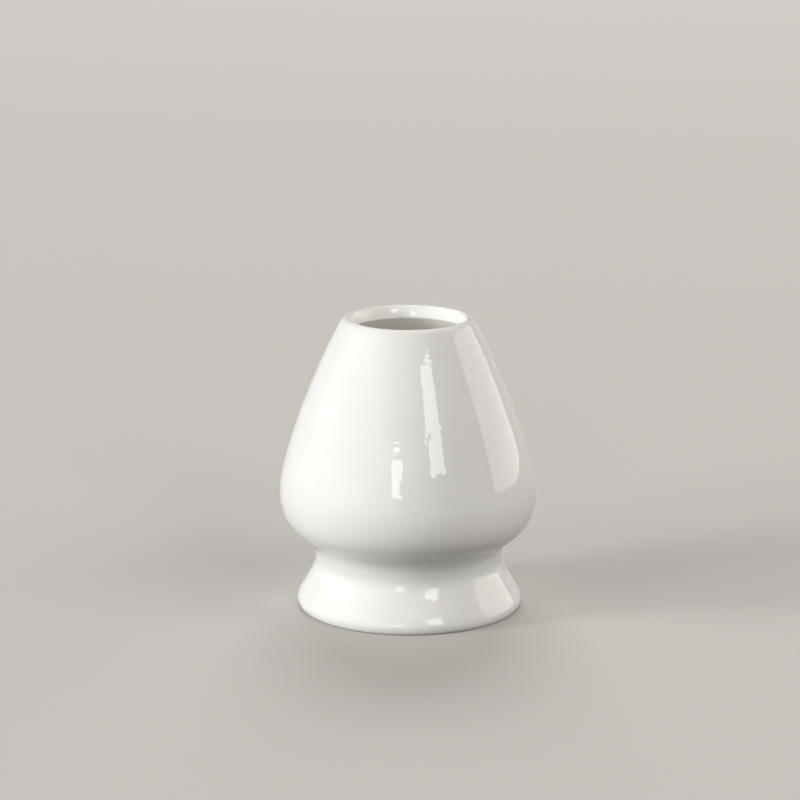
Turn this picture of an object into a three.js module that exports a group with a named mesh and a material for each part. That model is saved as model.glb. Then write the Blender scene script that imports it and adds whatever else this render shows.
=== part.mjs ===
// Tea whisk holder: a hollow porcelain stand that keeps a bamboo whisk's tines spread while it dries.
// It is made of two castings that meet at the waist, where they are joined with slip:
// a bulb, open at its mouth, and a flared foot, open underneath.
// Millimetres, +Z up, with the origin at the centre of the ring that the foot stands on.

import * as THREE from 'three';

// Driving dimensions of the outside
const height = 74.2;
const bellyDiameter = 65.0;
const bellyHeight = 29.8;
const waistDiameter = 47.4;
const waistHeight = 12.7;
const footDiameter = 57.0;
const footBulgeHeight = 1.7;
const standingDiameter = 54.2;

// Mouth and lip
const mouthDiameter = 27.4;
const mouthDepth = 3.0;
const lipOuterRound = 2.1;
const lipInnerRound = 1.3;
const shoulderLean = THREE.MathUtils.degToRad(29.5);

// How far each curve of the outside keeps the direction that it starts or ends with
const footPull = 2.3;
const waistPullBelow = 4.0;
const waistPullAbove = 6.8;
const bellyPullBelow = 12.2;
const bellyPullAbove = 8.0;
const shoulderPull = 13.1;

// Walls, and the hollow inside
const wall = 3.1;
const lipUndercut = 0.7;
const footHollowDiameter = 48.2;
const footHollowPull = 3.5;
const passagePull = 4.5;
const ringInnerRound = 0.6;

// Fineness of the turned surfaces
const stepsRound = 60;
const stepsLongCurve = 12;
const stepsShortCurve = 8;
const stepsInside = 9;
const stepsRounding = 4;

const glaze = { color: 0xf2f0eb, roughness: 0.12, metalness: 0.0 };

const point = (radius, z) => new THREE.Vector2(radius, z);
const curve = (start, startPull, endPull, end) => new THREE.CubicBezierCurve(start, startPull, endPull, end);

// A quarter of an ellipse, or less, from one angle to another, as points of a profile.
function rounding(centre, radiusAcross, radiusUp, from, to) {
  const clockwise = to < from;
  const arc = new THREE.EllipseCurve(centre.x, centre.y, radiusAcross, radiusUp, from, to, clockwise);
  return arc.getPoints(stepsRounding);
}

// The inside of a wall: the curve of its outside, moved inwards by the wall's thickness.
function inset(outside, thickness, steps) {
  const points = [];
  for (let i = 0; i <= steps; i += 1) {
    const along = outside.getTangent(i / steps);
    points.push(outside.getPoint(i / steps).add(point(-along.y, along.x).multiplyScalar(thickness)));
  }
  return points;
}

// Stretches of a profile in one run. Each starts where the one before it ends, so that point is kept once.
function joined(...stretches) {
  return stretches.flatMap((stretch, i) => (i === 0 ? stretch : stretch.slice(1)));
}

// The part of a rising run of points that lies under a level, ended where it reaches that level.
function cutOffAbove(level, points) {
  const first = points.findIndex((p) => p.y > level);
  const below = points[first - 1];
  const above = points[first];
  const end = below.clone().lerp(above, (level - below.y) / (above.y - below.y));
  return [...points.slice(0, first), end];
}

// One closed section turned about the upright axis.
function turned(name, section) {
  const geometry = new THREE.LatheGeometry([...section, section[0].clone()], stepsRound);
  geometry.rotateX(Math.PI / 2);
  const mesh = new THREE.Mesh(geometry, new THREE.MeshStandardMaterial(glaze));
  mesh.name = name;
  return mesh;
}

// Places on the outside that both castings share
const waist = point(waistDiameter / 2, waistHeight);
const belly = point(bellyDiameter / 2, bellyHeight);
const footBulge = point(footDiameter / 2, footBulgeHeight);
const passageRadius = waist.x - wall;

// The bulb: from the waist out to the belly, up the long shoulder and over the lip,
// then down the short mouth, under its edge and back down the inside of the wall.
function bulb() {
  const crestRadius = mouthDiameter / 2 + lipInnerRound;
  const lipCentre = point(crestRadius, height - lipOuterRound);
  const shoulderEnd = lipCentre.clone()
    .add(point(Math.cos(shoulderLean), Math.sin(shoulderLean)).multiplyScalar(lipOuterRound));
  const downShoulder = point(Math.sin(shoulderLean), -Math.cos(shoulderLean)).multiplyScalar(shoulderPull);

  const underside = curve(
    waist,
    point(waist.x, waist.y + waistPullAbove),
    point(belly.x, belly.y - bellyPullBelow),
    belly,
  );
  const shoulder = curve(
    belly,
    point(belly.x, belly.y + bellyPullAbove),
    shoulderEnd.clone().add(downShoulder),
    shoulderEnd,
  );
  const lipOutside = rounding(lipCentre, lipOuterRound, lipOuterRound, shoulderLean, Math.PI / 2);
  const lipInside = rounding(
    point(crestRadius, height - lipInnerRound), lipInnerRound, lipInnerRound, Math.PI / 2, Math.PI,
  );

  const mouthEdge = point(mouthDiameter / 2, height - mouthDepth);
  const outside = joined(
    underside.getPoints(stepsLongCurve), shoulder.getPoints(stepsLongCurve), lipOutside, lipInside,
  );
  const inside = cutOffAbove(
    mouthEdge.y - lipUndercut,
    joined(inset(underside, wall, stepsInside), inset(shoulder, wall, stepsInside)),
  );
  return turned('bulb', [...outside, mouthEdge, ...inside.reverse()]);
}

// The foot: from the flat standing ring round the bulging edge and up to the waist,
// then down the inside of the flare to the ring's rounded inner edge.
function foot() {
  const edgeOverhang = footBulge.x - standingDiameter / 2;
  const edge = rounding(
    point(standingDiameter / 2, footBulge.y), edgeOverhang, footBulge.y, -Math.PI / 2, 0,
  );
  const flare = curve(
    footBulge,
    point(footBulge.x, footBulge.y + footPull),
    point(waist.x, waist.y - waistPullBelow),
    waist,
  );
  const hollowRadius = footHollowDiameter / 2;
  const hollow = curve(
    point(passageRadius, waist.y),
    point(passageRadius, waist.y - passagePull),
    point(hollowRadius, ringInnerRound + footHollowPull),
    point(hollowRadius, ringInnerRound),
  );
  const ringInnerEdge = rounding(
    point(hollowRadius + ringInnerRound, ringInnerRound), ringInnerRound, ringInnerRound,
    Math.PI, Math.PI * 1.5,
  );

  const outside = joined(edge, flare.getPoints(stepsShortCurve));
  const inside = joined(hollow.getPoints(stepsShortCurve), ringInnerEdge);
  return turned('foot', [...outside, ...inside]);
}

const holder = new THREE.Group();
holder.name = 'tea_whisk_holder';
holder.add(foot(), bulb());

export default holder;
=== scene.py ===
"""A tea whisk holder in clear-glazed porcelain, on a plain pale floor under soft studio light.

Each casting is one section turned about the upright axis by a Geometry Nodes tree.
Lengths are in metres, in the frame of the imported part: +Z up, the standing ring on z = 0.
"""
import math

import bpy
from mathutils import Matrix, Vector


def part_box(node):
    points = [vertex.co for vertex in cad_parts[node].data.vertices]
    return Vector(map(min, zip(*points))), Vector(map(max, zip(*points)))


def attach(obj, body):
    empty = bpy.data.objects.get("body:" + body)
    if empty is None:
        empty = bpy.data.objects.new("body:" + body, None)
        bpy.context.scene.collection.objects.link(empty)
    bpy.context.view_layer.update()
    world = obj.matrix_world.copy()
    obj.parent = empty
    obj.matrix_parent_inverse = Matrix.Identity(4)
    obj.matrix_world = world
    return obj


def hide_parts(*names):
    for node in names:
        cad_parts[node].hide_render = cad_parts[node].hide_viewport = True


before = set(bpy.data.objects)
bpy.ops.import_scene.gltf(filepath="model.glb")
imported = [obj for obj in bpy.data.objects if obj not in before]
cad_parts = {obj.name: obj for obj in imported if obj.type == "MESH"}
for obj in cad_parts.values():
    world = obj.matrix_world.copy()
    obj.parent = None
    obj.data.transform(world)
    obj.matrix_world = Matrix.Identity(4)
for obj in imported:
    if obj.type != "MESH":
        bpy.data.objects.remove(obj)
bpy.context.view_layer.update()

MM = 0.001

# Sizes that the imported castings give
RIM_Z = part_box("bulb")[1][2]
BELLY_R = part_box("bulb")[1][0]
WAIST_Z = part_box("foot")[1][2]
FOOT_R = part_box("foot")[1][0]

# The rest of the outside. A section's angles are in degrees.
BELLY_Z = 29.8 * MM
WAIST_R = 23.7 * MM
BULGE_Z = 1.7 * MM
STANDING_R = 27.7 * MM
SHOULDER_LEAN = 29.5
LIP_CREST_R = 15.0 * MM
LIP_OUTER_ROUND = 2.1 * MM

# How far each curve keeps the direction that it starts or ends with
FOOT_PULL = 2.3 * MM
WAIST_PULL_BELOW = 4.0 * MM
WAIST_PULL_ABOVE = 6.8 * MM
BELLY_PULL_BELOW = 12.2 * MM
BELLY_PULL_ABOVE = 8.0 * MM
SHOULDER_PULL = 13.1 * MM

# The mouth: its wall is part of a tall ellipse, and its rounded edge overhangs the hollow
MOUTH_R = 13.7 * MM
MOUTH_DEPTH = 3.2 * MM
MOUTH_WALL_UP = 6.7 * MM
MOUTH_WALL_TURN = 55
MOUTH_EDGE_ROUND = 0.5 * MM
MOUTH_EDGE_LEAN = 9.4
MOUTH_EDGE_TURN = 39
LIP_UNDERCUT = 4.5 * MM

# The wall, and the hollow of the foot
WALL = 3.1 * MM
HOLLOW_R = 24.1 * MM
HOLLOW_PULL = 3.5 * MM
PASSAGE_PULL = 4.5 * MM
RING_INNER_ROUND = 0.6 * MM

# How finely the castings are turned
STEPS_ROUND = 256
STEPS_LONG_CURVE = 60
STEPS_SHORT_CURVE = 30
STEPS_ROUNDING = 10
SHARP_EDGE = math.radians(40)

# What drying and firing did to the clay
FOOT_SHIFT = 0.5 * MM
FOOT_SHIFT_REACH = 45.0 * MM
WANDER = 0.02 * MM
WANDER_SIZE = 16.0 * MM
RIPPLE = 0.004 * MM
RIPPLE_SIZE = 5.0 * MM
CLAY_SEED = 7

# The glaze: where it is thick and thin, and the size of what it did as it ran and set
BARE_BELOW = 0.15 * MM
THIN_DEPTH = 1.2 * MM
THIN_SHARE = 0.4
# The waist's band: glaze that ran together, darkened further as painted shade in the crease
POOL_AND_SHADE_CORE = 0.4 * MM
POOL_AND_SHADE_REACH = 3.0 * MM
POOL_AND_SHADE_SHARE = 0.4
CLOUD_SIZE = 14.0 * MM
DRIFT_SIZE = 6.0 * MM
GLOSSIEST = 0.006
LEAST_GLOSSY = 0.015
PEEL_SIZE = 1.2 * MM
PEEL_DEPTH = 0.03 * MM
PEEL_AT_WAIST = 0.02
PEEL_AT_RIM = 0.75
GLAZE_IOR = 1.5

# How far light seeps into the white body, how much of it does, and how far each colour gets of that
SCATTER_DEPTH = 1.5 * MM
SCATTER_SHARE = 0.2
SCATTER_BY_COLOUR = (1.0, 0.8, 0.6)

# The bare biscuit. Its real grain is finer than a render shows, so it is drawn coarser.
GRAIN_SIZE = 0.4 * MM
GRAIN_DEPTH = 0.03 * MM
GRAIN_DETAIL = 4.0
GRAIN_STRENGTH = 0.6
BISCUIT_ROUGHNESS = 0.8

# Colours of the porcelain, as the eye sees them in plain light. The waist's colour is partly painted shade,
# and the hollow's colour is painted bounce light.
BODY_GREYER = "#f5f5f3"
BODY_WHITER = "#f8f8f6"
# Glaze that ran together in the waist, darkened further as painted shade
GLAZE_POOLED_AND_SHADE = "#e3e5e3"
GLAZE_THIN = "#f7f3ec"
# Painted bounce light: the inside of the hollow is drawn lighter and warmer than the glaze outside
PAINTED_BOUNCE_IN_HOLLOW = "#fdf9ee"
BISCUIT_DARKER = "#ddd5c6"
BISCUIT_LIGHTER = "#ece6da"

# A face's normal against the way out from the axis: for a face that looks in at it, and one that doesn't
LOOKS_INWARDS = -0.9
LOOKS_ASIDE = -0.1

# The photograph's viewpoint, worked out from the outline
PHOTO_PIXELS = 800
FOCAL_PIXELS = 2903.3
SENSOR_WIDTH = 36.0
CAMERA_AWAY = 709.1 * MM
CAMERA_UP = 225.7 * MM
CAMERA_ASIDE = -1.94 * MM
CAMERA_TILT = math.radians(13.6945)
NEAREST_SEEN = 10 * MM

# The floor and the backdrop
FLOOR_RADIUS = 2.4
FLOOR_STEPS = 96
FLOOR_TONE = "#cdcac6"
BOUNCE_TONE = "#504e4c"
BACKDROP_TINT = "#fffbf6"
HORIZON_GLOW = 0.52
HAZE_TOP = math.radians(14)
AMBIENT = 0.08
REFLECTOR_GLOW = 1.0
REFLECTOR_AZIMUTH = math.radians(-62)
REFLECTOR_CORE = math.radians(48)
REFLECTOR_SPREAD = math.radians(66)
REFLECTOR_SQUASH = 1.8

# Each lamp's direction from the object in degrees, with azimuth 0 on the camera's side and positive to the
# right, then the degrees that it spans across and up, its roll, its radiance and its colour.
# The glaze mirrors the outlines of the panels, and of the soft boxes it mirrors nothing.
MIDDLE = Vector((0, 0, RIM_Z / 2))
LAMP_AWAY = 4.0
DAYLIGHT = "#ffffff"
WARM_LIGHT = "#fff9f2"
PANELS = {
    "tall_panel_top": (31.0, 38.3, 7.0, 1.6, 0, 4.8, DAYLIGHT),
    "tall_panel_upper": (28.0, 31.3, 14.2, 11.8, 0, 5.2, DAYLIGHT),
    "tall_panel_left_strip": (19.4, 25.1, 3.0, 0.6, 0, 5.0, DAYLIGHT),
    "tall_panel_right_strip": (31.7, 25.1, 10.4, 0.6, 0, 5.0, DAYLIGHT),
    "tall_panel_lower": (29.0, 21.2, 13.2, 7.2, 0, 5.0, DAYLIGHT),
    "small_panel_top": (-11.5, 24.2, 5.8, 0.9, 0, 6.0, DAYLIGHT),
    "small_panel_upper": (-10.3, 19.5, 9.8, 5.0, 0, 5.2, DAYLIGHT),
    "small_panel_lower": (-11.1, 13.8, 6.9, 6.4, 0, 5.2, DAYLIGHT),
    "small_panel_bottom": (-6.6, 11.5, 2.6, 1.6, 0, 5.2, DAYLIGHT),
    "right_panel": (110, 14.5, 49, 29, -7, 1.9, WARM_LIGHT),
}
SOFT_BOXES = {
    "left_box": (-74, 14.5, 14, 8, 0, 47.0, DAYLIGHT),
    "left_low_box": (-86, 1.5, 12, 3, 0, 20.0, DAYLIGHT),
    "left_front_box": (-51, 21, 12, 8, 0, 14.0, DAYLIGHT),
    "right_high_box": (63, 37, 34, 24, 0, 3.2, WARM_LIGHT),
    "back_box": (180, 42, 36, 26, 0, 5.2, DAYLIGHT),
}


def linear(hex_colour):
    """An sRGB colour, written as #rrggbb, as the linear RGBA that sockets take."""
    channels = [int(hex_colour[i:i + 2], 16) / 255 for i in (1, 3, 5)]
    return [c / 12.92 if c <= 0.04045 else ((c + 0.055) / 1.055) ** 2.4 for c in channels] + [1.0]


def add(tree, kind, inputs=None, **settings):
    """Adds a node with its settings. An input takes a node's output, an sRGB hex colour or a value."""
    node = tree.nodes.new(kind)
    for name, value in settings.items():
        setattr(node, name, value)
    for name, value in (inputs or {}).items():
        if isinstance(value, bpy.types.NodeSocket):
            tree.links.new(value, node.inputs[name])
        else:
            node.inputs[name].default_value = linear(value) if isinstance(value, str) else value
    return node


def emptied_tree(owner):
    """The node tree of a new material or world, with nothing in it."""
    owner.use_nodes = True
    owner.node_tree.nodes.clear()
    return owner.node_tree


# The sections, as points of radius and height


def curve(start, start_pull, end_pull, end, steps):
    """A cubic curve between two places, drawn towards two others."""
    points = []
    for i in range(steps + 1):
        t = i / steps
        u = 1 - t
        points.append(u**3 * start + 3 * u * u * t * start_pull + 3 * u * t * t * end_pull + t**3 * end)
    return points


def rounding(centre, across, up, start, end):
    """Part of an ellipse, from one angle in degrees to another."""
    points = []
    for i in range(STEPS_ROUNDING + 1):
        angle = math.radians(start + (end - start) * i / STEPS_ROUNDING)
        points.append(centre + Vector((across * math.cos(angle), up * math.sin(angle))))
    return points


def inset(points, thickness):
    """The inside of a wall: the points of its outside, moved inwards by its thickness."""
    moved = []
    for i, point in enumerate(points):
        along = (points[min(i + 1, len(points) - 1)] - points[max(i - 1, 0)]).normalized()
        moved.append(point + thickness * Vector((-along.y, along.x)))
    return moved


def joined(*stretches):
    """Stretches of a section in one run. Each starts where the one before it ends."""
    points = list(stretches[0])
    for stretch in stretches[1:]:
        points += stretch[1:]
    return points


def cut_off_above(level, points):
    """The part of a rising run of points under a level, ended where it reaches that level."""
    first = next(i for i, point in enumerate(points) if point.y > level)
    below, above = points[first - 1], points[first]
    return points[:first] + [below.lerp(above, (level - below.y) / (above.y - below.y))]


def bulb_section():
    """From the waist out to the belly, over the lip, down the short mouth and back inside the wall."""
    waist = Vector((WAIST_R, WAIST_Z))
    belly = Vector((BELLY_R, BELLY_Z))
    lip_centre = Vector((LIP_CREST_R, RIM_Z - LIP_OUTER_ROUND))
    lean = math.radians(SHOULDER_LEAN)
    outwards = Vector((math.cos(lean), math.sin(lean)))
    shoulder_end = lip_centre + LIP_OUTER_ROUND * outwards
    down_shoulder = SHOULDER_PULL * Vector((outwards.y, -outwards.x))

    underside = curve(
        waist, waist + Vector((0, WAIST_PULL_ABOVE)),
        belly - Vector((0, BELLY_PULL_BELOW)), belly, STEPS_LONG_CURVE,
    )
    shoulder = curve(
        belly, belly + Vector((0, BELLY_PULL_ABOVE)),
        shoulder_end + down_shoulder, shoulder_end, STEPS_LONG_CURVE,
    )
    lip = rounding(lip_centre, LIP_OUTER_ROUND, LIP_OUTER_ROUND, SHOULDER_LEAN, 90)

    mouth_centre = Vector((LIP_CREST_R, RIM_Z - MOUTH_WALL_UP))
    mouth_across = (LIP_CREST_R - MOUTH_R) / math.sin(math.radians(MOUTH_WALL_TURN))
    mouth = rounding(mouth_centre, mouth_across, MOUTH_WALL_UP, 90, 90 + MOUTH_WALL_TURN)
    edge_lean = math.radians(MOUTH_EDGE_LEAN)
    edge_centre = mouth[-1] + MOUTH_EDGE_ROUND * Vector((math.cos(edge_lean), -math.sin(edge_lean)))
    edge = rounding(
        edge_centre, MOUTH_EDGE_ROUND, MOUTH_EDGE_ROUND, 180 - MOUTH_EDGE_LEAN, 180 + MOUTH_EDGE_TURN
    )

    inner_wall = joined(inset(underside, WALL), inset(shoulder, WALL))
    inside = cut_off_above(RIM_Z - MOUTH_DEPTH - LIP_UNDERCUT, inner_wall)
    return joined(underside, shoulder, lip, mouth, edge) + inside[::-1]


def foot_section():
    """From the flat standing ring round the bulging edge up to the waist, then down inside the flare."""
    waist = Vector((WAIST_R, WAIST_Z))
    bulge = Vector((FOOT_R, BULGE_Z))
    passage = Vector((WAIST_R - WALL, WAIST_Z))
    hollow_end = Vector((HOLLOW_R, RING_INNER_ROUND))
    ring_centre = Vector((HOLLOW_R + RING_INNER_ROUND, RING_INNER_ROUND))

    edge = rounding(Vector((STANDING_R, BULGE_Z)), FOOT_R - STANDING_R, BULGE_Z, -90, 0)
    flare = curve(
        bulge, bulge + Vector((0, FOOT_PULL)),
        waist - Vector((0, WAIST_PULL_BELOW)), waist, STEPS_SHORT_CURVE,
    )
    hollow = curve(
        passage, passage - Vector((0, PASSAGE_PULL)),
        hollow_end + Vector((0, HOLLOW_PULL)), hollow_end, STEPS_SHORT_CURVE,
    )
    ring_edge = rounding(ring_centre, RING_INNER_ROUND, RING_INNER_ROUND, 180, 270)
    return joined(edge, flare) + joined(hollow, ring_edge)


# Turning


def turning_tree():
    """The Geometry Nodes tree that turns a section and lets it wander as fired clay does.

    The section comes in as a closed chain of edges, its X measured outwards from the path's circle and its
    Y downwards, because that is how a profile lies on a circle whose normals are upright."""
    tree = bpy.data.node_groups.new("turned_casting", "GeometryNodeTree")
    sockets = {}
    for name, kind in (
        ("Geometry", "Geometry"), ("Path Radius", "Float"), ("Steps Round", "Int"), ("Foot Shift", "Float"),
        ("Foot Shift Reach", "Float"), ("Wander", "Float"), ("Wander Size", "Float"), ("Ripple", "Float"),
        ("Ripple Size", "Float"), ("Seed", "Int"), ("Bare Below", "Float"), ("Glaze", "Material"),
        ("Biscuit", "Material"),
    ):
        socket = tree.interface.new_socket(name, in_out="INPUT", socket_type=f"NodeSocket{kind}")
        sockets[name] = socket.identifier
    tree.interface.new_socket("Geometry", in_out="OUTPUT", socket_type="NodeSocketGeometry")
    given = add(tree, "NodeGroupInput").outputs

    circle = add(
        tree, "GeometryNodeCurvePrimitiveCircle",
        {"Resolution": given["Steps Round"], "Radius": given["Path Radius"]},
    )
    path = add(tree, "GeometryNodeSetCurveNormal", {"Curve": circle.outputs["Curve"]}, mode="Z_UP")
    section = add(tree, "GeometryNodeMeshToCurve", {"Mesh": given["Geometry"]})
    turned = add(
        tree, "GeometryNodeCurveToMesh", {"Curve": path.outputs[0], "Profile Curve": section.outputs[0]}
    )

    place = add(tree, "GeometryNodeInputPosition").outputs[0]
    split = add(tree, "ShaderNodeSeparateXYZ", {0: place}).outputs
    across = add(tree, "ShaderNodeCombineXYZ", {0: split["X"], 1: split["Y"]}).outputs[0]
    outwards = add(tree, "ShaderNodeVectorMath", {0: across}, operation="NORMALIZE").outputs[0]

    moves = []
    for amount, size in (("Wander", "Wander Size"), ("Ripple", "Ripple Size")):
        scale = add(tree, "ShaderNodeMath", {0: 1.0, 1: given[size]}, operation="DIVIDE").outputs[0]
        noise = add(
            tree, "ShaderNodeTexNoise",
            {"Vector": place, "W": given["Seed"], "Scale": scale, "Detail": 1.0}, noise_dimensions="4D",
        ).outputs["Fac"]
        reach = add(tree, "ShaderNodeMapRange", {"Value": noise, "To Min": -1.0, "To Max": 1.0}).outputs[0]
        step = add(tree, "ShaderNodeMath", {0: reach, 1: given[amount]}, operation="MULTIPLY").outputs[0]
        move = add(tree, "ShaderNodeVectorMath", {0: outwards, "Scale": step}, operation="SCALE").outputs[0]
        moves.append(move)

    low = add(
        tree, "ShaderNodeMapRange",
        {"Value": split["Z"], "From Max": given["Foot Shift Reach"], "To Min": 1.0, "To Max": 0.0},
    ).outputs["Result"]
    eased = add(tree, "ShaderNodeMath", {0: low, 1: low}, operation="MULTIPLY").outputs[0]
    shift = add(tree, "ShaderNodeMath", {0: eased, 1: given["Foot Shift"]}, operation="MULTIPLY").outputs[0]
    moves.append(add(tree, "ShaderNodeCombineXYZ", {0: shift}).outputs[0])

    offset = moves[0]
    for move in moves[1:]:
        offset = add(tree, "ShaderNodeVectorMath", {0: offset, 1: move}, operation="ADD").outputs[0]
    fired = add(tree, "GeometryNodeSetPosition", {"Geometry": turned.outputs[0], "Offset": offset})
    smooth = add(tree, "GeometryNodeSetShadeSmooth", {0: fired.outputs[0]})
    real = add(tree, "GeometryNodeRealizeInstances", {0: smooth.outputs[0]})
    glazed = add(
        tree, "GeometryNodeSetMaterial", {"Geometry": real.outputs[0], "Material": given["Glaze"]}
    ).outputs[0]
    bare = add(
        tree, "FunctionNodeCompare", {0: split["Z"], 1: given["Bare Below"]}, operation="LESS_THAN"
    ).outputs[0]
    ringed = add(
        tree, "GeometryNodeSetMaterial",
        {"Geometry": glazed, "Selection": bare, "Material": given["Biscuit"]},
    )
    add(tree, "NodeGroupOutput", {0: ringed.outputs[0]})
    return tree, sockets


def turned_casting(name, section, tree, sockets, glaze, biscuit):
    """Turns one section into a closed mesh, and leaves no modifier on it."""
    path_radius = min(point.x for point in section)
    chain = bpy.data.meshes.new(f"{name}_section")
    corners = [(point.x - path_radius, -point.y, 0) for point in section]
    chain.from_pydata(corners, [(i, (i + 1) % len(corners)) for i in range(len(corners))], [])
    piece = bpy.data.objects.new(name, chain)
    bpy.context.scene.collection.objects.link(piece)

    turning = piece.modifiers.new("turning", "NODES")
    turning.node_group = tree
    given = {
        "Path Radius": path_radius, "Steps Round": STEPS_ROUND, "Foot Shift": FOOT_SHIFT,
        "Foot Shift Reach": FOOT_SHIFT_REACH, "Wander": WANDER, "Wander Size": WANDER_SIZE,
        "Ripple": RIPPLE, "Ripple Size": RIPPLE_SIZE, "Seed": CLAY_SEED, "Bare Below": BARE_BELOW,
        "Glaze": glaze, "Biscuit": biscuit,
    }
    for socket, value in given.items():
        turning[sockets[socket]] = value

    evaluated = piece.evaluated_get(bpy.context.evaluated_depsgraph_get())
    solid = bpy.data.meshes.new_from_object(evaluated)
    solid.name = name
    piece.modifiers.remove(turning)
    piece.data = solid
    solid.set_sharp_from_angle(angle=SHARP_EDGE)
    return piece


# Materials

# A Mix node set to colours takes its factor at input 0 and its two colours at inputs 6 and 7, and gives its
# colour at output 2. A noise keeps mostly to the middle of its range, which is spread over the whole mix.
COLOURS = {"data_type": "RGBA"}
EASED = {"interpolation_type": "SMOOTHSTEP"}
NOISE_MIDDLE = {"From Min": 0.3, "From Max": 0.7}


def principled_material(name):
    """A new material with its Principled shader alone."""
    material = bpy.data.materials.new(name)
    tree = emptied_tree(material)
    shader = add(tree, "ShaderNodeBsdfPrincipled")
    add(tree, "ShaderNodeOutputMaterial", {"Surface": shader.outputs[0]})
    return material, tree, shader


def clear_glazed_porcelain():
    """Slip-cast porcelain under a clear dipped glaze.

    The glaze is a glassy skin, so lamps mirror in it sharply, with edges that its orange peel makes ragged.
    The peel is strongest at the rim, where the glaze is thin, and fades towards the waist, where it ran
    together. In the waist the white is cooler and darker, partly glaze that ran together and partly painted
    shade in the crease. It is warmer over the lip, and inside the hollow it is lighter and warmer, which is
    painted bounce light.
    Light seeps a little way into the body, which softens the edges of its shades."""
    material, tree, shader = principled_material("clear_glazed_porcelain")
    surface = add(tree, "ShaderNodeTexCoord").outputs
    place = surface["Object"]
    height = add(tree, "ShaderNodeSeparateXYZ", {0: place}).outputs["Z"]

    clouds = add(tree, "ShaderNodeTexNoise", {"Vector": place, "Scale": 1 / CLOUD_SIZE}).outputs["Fac"]
    cloudy = add(tree, "ShaderNodeMapRange", {"Value": clouds, **NOISE_MIDDLE}, **EASED).outputs[0]
    body = add(tree, "ShaderNodeMix", {0: cloudy, 6: BODY_GREYER, 7: BODY_WHITER}, **COLOURS).outputs[2]

    # Painted shade, partly glaze that ran together: the white turns cooler and darker towards the waist's
    # crease
    from_waist = add(tree, "ShaderNodeMath", {0: height, 1: WAIST_Z}, operation="SUBTRACT").outputs[0]
    distance = add(tree, "ShaderNodeMath", {0: from_waist}, operation="ABSOLUTE").outputs[0]
    pool_and_shade_mask = add(
        tree, "ShaderNodeMapRange",
        {
            "Value": distance, "From Min": POOL_AND_SHADE_CORE, "From Max": POOL_AND_SHADE_REACH,
            "To Min": POOL_AND_SHADE_SHARE, "To Max": 0.0,
        },
        **EASED,
    ).outputs[0]
    pooled_and_shaded = add(tree, "ShaderNodeMix", {0: pool_and_shade_mask, 6: body, 7: GLAZE_POOLED_AND_SHADE}, **COLOURS).outputs[2]

    thinned = add(
        tree, "ShaderNodeMapRange",
        {
            "Value": height, "From Min": RIM_Z - THIN_DEPTH, "From Max": RIM_Z,
            "To Min": 0.0, "To Max": THIN_SHARE,
        },
        **EASED,
    ).outputs[0]
    rimmed = add(tree, "ShaderNodeMix", {0: thinned, 6: pooled_and_shaded, 7: GLAZE_THIN}, **COLOURS).outputs[2]

    # Painted bounce light: deep in the hollow, faces that look in at the axis get a lighter, warmer white
    level = add(tree, "ShaderNodeVectorMath", {0: place, 1: (1, 1, 0)}, operation="MULTIPLY").outputs[0]
    outwards = add(tree, "ShaderNodeVectorMath", {0: level}, operation="NORMALIZE").outputs[0]
    facing = add(
        tree, "ShaderNodeVectorMath", {0: outwards, 1: surface["Normal"]}, operation="DOT_PRODUCT"
    ).outputs["Value"]
    inwards = add(
        tree, "ShaderNodeMapRange",
        {
            "Value": facing, "From Min": LOOKS_INWARDS, "From Max": LOOKS_ASIDE,
            "To Min": 1.0, "To Max": 0.0,
        },
        **EASED,
    ).outputs[0]
    deep = add(
        tree, "ShaderNodeMapRange",
        {
            "Value": height, "From Min": RIM_Z - 2 * MOUTH_DEPTH, "From Max": RIM_Z - MOUTH_DEPTH,
            "To Min": 1.0, "To Max": 0.0,
        },
        **EASED,
    ).outputs[0]
    hollow = add(tree, "ShaderNodeMath", {0: inwards, 1: deep}, operation="MULTIPLY").outputs[0]
    colour = add(tree, "ShaderNodeMix", {0: hollow, 6: rimmed, 7: PAINTED_BOUNCE_IN_HOLLOW}, **COLOURS).outputs[2]
    tree.links.new(colour, shader.inputs["Base Color"])

    drift = add(tree, "ShaderNodeTexNoise", {"Vector": place, "Scale": 1 / DRIFT_SIZE}).outputs["Fac"]
    gloss = add(
        tree, "ShaderNodeMapRange",
        {"Value": drift, **NOISE_MIDDLE, "To Min": GLOSSIEST, "To Max": LEAST_GLOSSY}, **EASED,
    ).outputs[0]
    tree.links.new(gloss, shader.inputs["Roughness"])

    peel = add(
        tree, "ShaderNodeTexNoise", {"Vector": place, "Scale": 1 / PEEL_SIZE, "Detail": 0.0}
    ).outputs["Fac"]
    strength = add(
        tree, "ShaderNodeMapRange",
        {
            "Value": height, "From Min": WAIST_Z, "From Max": RIM_Z,
            "To Min": PEEL_AT_WAIST, "To Max": PEEL_AT_RIM,
        },
        **EASED,
    ).outputs[0]
    skin = add(tree, "ShaderNodeBump", {"Height": peel, "Strength": strength, "Distance": PEEL_DEPTH})
    tree.links.new(skin.outputs[0], shader.inputs["Normal"])
    shader.inputs["IOR"].default_value = GLAZE_IOR
    shader.inputs["Subsurface Weight"].default_value = SCATTER_SHARE
    shader.inputs["Subsurface Radius"].default_value = SCATTER_BY_COLOUR
    shader.inputs["Subsurface Scale"].default_value = SCATTER_DEPTH
    return material


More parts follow.
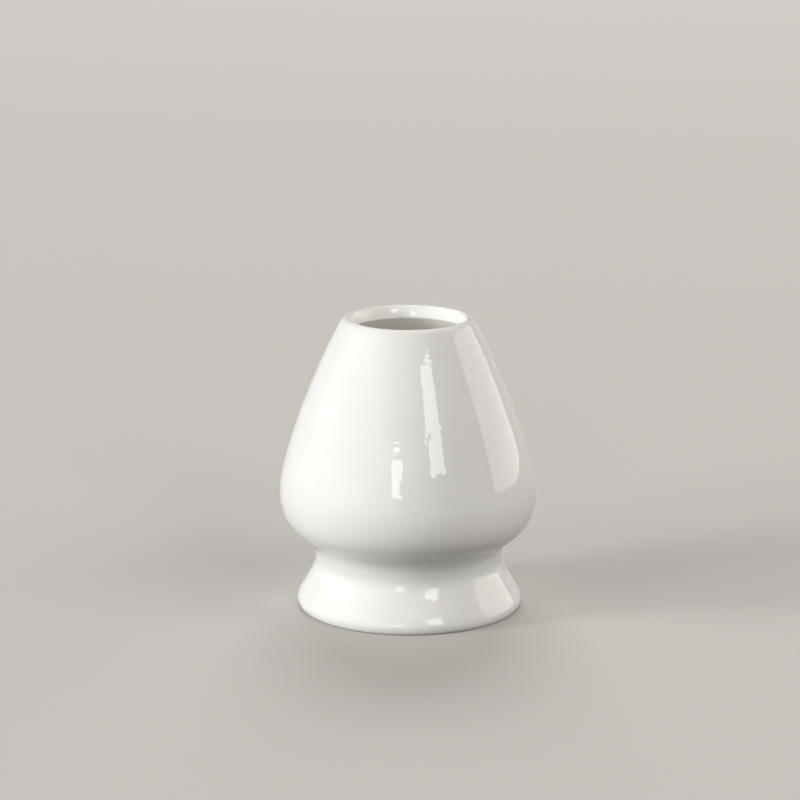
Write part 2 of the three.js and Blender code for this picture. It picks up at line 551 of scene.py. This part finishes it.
def bare_biscuit():
    """Unglazed fired porcelain, wiped clean and ground flat where the foot stands: matt, with a grain."""
    material, tree, shader = principled_material("bare_biscuit_porcelain")
    place = add(tree, "ShaderNodeTexCoord").outputs["Object"]
    grain = add(
        tree, "ShaderNodeTexNoise", {"Vector": place, "Scale": 1 / GRAIN_SIZE, "Detail": GRAIN_DETAIL}
    ).outputs["Fac"]
    colour = add(
        tree, "ShaderNodeMix", {0: grain, 6: BISCUIT_DARKER, 7: BISCUIT_LIGHTER}, **COLOURS
    ).outputs[2]
    tree.links.new(colour, shader.inputs["Base Color"])
    rough = add(
        tree, "ShaderNodeBump", {"Height": grain, "Strength": GRAIN_STRENGTH, "Distance": GRAIN_DEPTH}
    )
    tree.links.new(rough.outputs[0], shader.inputs["Normal"])
    shader.inputs["Roughness"].default_value = BISCUIT_ROUGHNESS
    return material


# Studio


def view_from_the_photo():
    """The camera, with the photograph's viewpoint and angle of view."""
    data = bpy.data.cameras.new("photo_camera")
    data.sensor_width = SENSOR_WIDTH
    data.lens = SENSOR_WIDTH * FOCAL_PIXELS / PHOTO_PIXELS
    data.clip_start = NEAREST_SEEN
    camera = bpy.data.objects.new("photo_camera", data)
    camera.location = (CAMERA_ASIDE, -CAMERA_AWAY, CAMERA_UP)
    camera.rotation_euler = (math.radians(90) - CAMERA_TILT, 0, 0)
    bpy.context.scene.collection.objects.link(camera)
    bpy.context.scene.camera = camera


def seen_or_mirrored(tree):
    """1 for what the camera, a mirror image or clear glass shows, and 0 for the light that it sends on."""
    path = add(tree, "ShaderNodeLightPath").outputs
    shown = path["Is Camera Ray"]
    for way in ("Is Glossy Ray", "Is Transmission Ray"):
        shown = add(tree, "ShaderNodeMath", {0: shown, 1: path[way]}, operation="MAXIMUM").outputs[0]
    return shown


def studio_floor():
    """A plain pale floor, wide enough for every view. It keeps the shadow, and sends little light up."""
    data = bpy.data.meshes.new("studio_floor")
    turn = 2 * math.pi / FLOOR_STEPS
    ring = []
    for i in range(FLOOR_STEPS):
        ring.append((FLOOR_RADIUS * math.cos(i * turn), FLOOR_RADIUS * math.sin(i * turn), 0))
    data.from_pydata(ring, [], [range(FLOOR_STEPS)])
    floor = bpy.data.objects.new("studio_floor", data)
    bpy.context.scene.collection.objects.link(floor)

    material = bpy.data.materials.new("pale_floor_paint")
    tree = emptied_tree(material)
    bounced = add(tree, "ShaderNodeBsdfDiffuse", {"Color": BOUNCE_TONE}).outputs[0]
    seen = add(tree, "ShaderNodeBsdfDiffuse", {"Color": FLOOR_TONE}).outputs[0]
    paint = add(tree, "ShaderNodeMixShader", {0: seen_or_mirrored(tree), 1: bounced, 2: seen})
    add(tree, "ShaderNodeOutputMaterial", {"Surface": paint.outputs[0]})
    data.materials.append(material)


def studio_world():
    """A backdrop that is as pale as the floor where it meets it, and darker above, as paper is above its
    lights. On the left it glows, as a wide pale reflector does. The paper itself sends little light out."""
    world = bpy.data.worlds.new("studio_world")
    tree = emptied_tree(world)
    way = add(tree, "ShaderNodeTexCoord").outputs["Generated"]
    rise = add(tree, "ShaderNodeSeparateXYZ", {0: way}).outputs["Z"]
    haze = add(
        tree, "ShaderNodeMapRange",
        {"Value": rise, "From Max": math.sin(HAZE_TOP), "To Min": HORIZON_GLOW, "To Max": AMBIENT}, **EASED,
    ).outputs[0]
    shown = seen_or_mirrored(tree)
    paper = add(tree, "ShaderNodeMath", {0: haze, 1: shown}, operation="MULTIPLY").outputs[0]
    paper = add(tree, "ShaderNodeMath", {0: paper, 1: AMBIENT}, operation="MAXIMUM").outputs[0]

    reflector = (math.sin(REFLECTOR_AZIMUTH), -math.cos(REFLECTOR_AZIMUTH), 0)
    squash = (1, 1, REFLECTOR_SQUASH)
    taller = add(tree, "ShaderNodeVectorMath", {0: way, 1: squash}, operation="MULTIPLY").outputs[0]
    squashed = add(tree, "ShaderNodeVectorMath", {0: taller}, operation="NORMALIZE").outputs[0]
    facing = add(
        tree, "ShaderNodeVectorMath", {0: squashed, 1: reflector}, operation="DOT_PRODUCT"
    ).outputs["Value"]
    glow = add(
        tree, "ShaderNodeMapRange",
        {
            "Value": facing, "From Min": math.cos(REFLECTOR_SPREAD), "From Max": math.cos(REFLECTOR_CORE),
            "To Max": REFLECTOR_GLOW,
        },
        **EASED,
    ).outputs[0]
    strength = add(tree, "ShaderNodeMath", {0: paper, 1: glow}, operation="MAXIMUM").outputs[0]
    backdrop = add(tree, "ShaderNodeBackground", {"Color": BACKDROP_TINT, "Strength": strength}).outputs[0]
    add(tree, "ShaderNodeOutputWorld", {"Surface": backdrop})
    bpy.context.scene.world = world


def lamp(name, azimuth, elevation, wide, high, roll, radiance, colour, mirrored):
    """One flat lamp that faces the object. One that isn't mirrored has no outline in the glaze."""
    data = bpy.data.lights.new(name, "AREA")
    data.shape = "RECTANGLE"
    data.size = 2 * LAMP_AWAY * math.tan(math.radians(wide / 2))
    data.size_y = 2 * LAMP_AWAY * math.tan(math.radians(high / 2))
    data.energy = radiance * math.pi * data.size * data.size_y
    data.color = linear(colour)[:3]
    box = bpy.data.objects.new(name, data)
    turn, rise = math.radians(azimuth), math.radians(elevation)
    way = Vector((math.sin(turn) * math.cos(rise), -math.cos(turn) * math.cos(rise), math.sin(rise)))
    facing = way.to_track_quat("Z", "Y").to_matrix().to_4x4() @ Matrix.Rotation(math.radians(roll), 4, "Z")
    box.matrix_world = Matrix.Translation(MIDDLE + LAMP_AWAY * way) @ facing
    box.visible_camera = False
    box.visible_glossy = mirrored
    bpy.context.scene.collection.objects.link(box)


view_from_the_photo()
glaze = clear_glazed_porcelain()
biscuit = bare_biscuit()
tree, sockets = turning_tree()
for node, section in (("bulb", bulb_section()), ("foot", foot_section())):
    piece = turned_casting(f"{node}_glazed", section, tree, sockets, glaze, biscuit)
    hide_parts(node)
    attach(piece, "root")

studio_floor()
studio_world()
for name, numbers in PANELS.items():
    lamp(name, *numbers, mirrored=True)
for name, numbers in SOFT_BOXES.items():
    lamp(name, *numbers, mirrored=False)
bpy.context.scene.view_settings.view_transform = "Standard"
